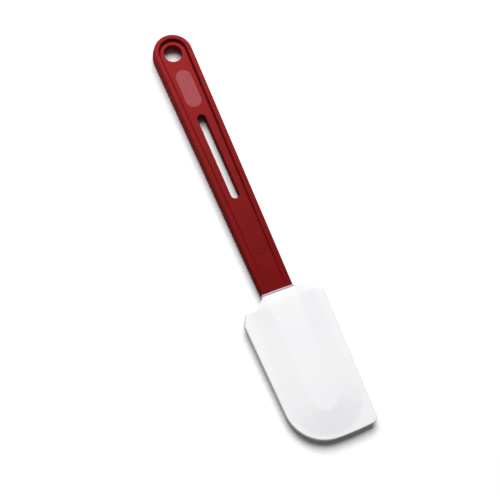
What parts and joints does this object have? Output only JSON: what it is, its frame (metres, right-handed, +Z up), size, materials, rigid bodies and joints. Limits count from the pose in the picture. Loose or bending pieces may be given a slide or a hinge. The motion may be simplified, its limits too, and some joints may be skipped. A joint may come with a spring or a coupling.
{
  "type": "silicone spatula",
  "caption": "Kitchen spatula with a flexible silicone scraper blade moulded on a rimmed, slotted handle with a hanging hole, for scraping and folding.",
  "frame": {"origin": "middle of the spatula's box in X and Y, on the surface it lies on", "axes": "+X from the hanging end to the blade's tip, +Y towards the blade's long straight side, +Z up, out of the face that carries the label"},
  "size_m": [0.343, 0.0674, 0.014],
  "materials": {
    "handle_nylon": "deep red glass-filled nylon, matte, fine moulded grain",
    "blade_silicone": "opaque white silicone, smooth satin",
    "label_inlay": "pale pink inlay, matte, blank"
  },
  "bodies": {
    "root": {"handle": "handle_nylon", "blade": "blade_silicone", "label": "label_inlay"}
  },
  "joints": []
}
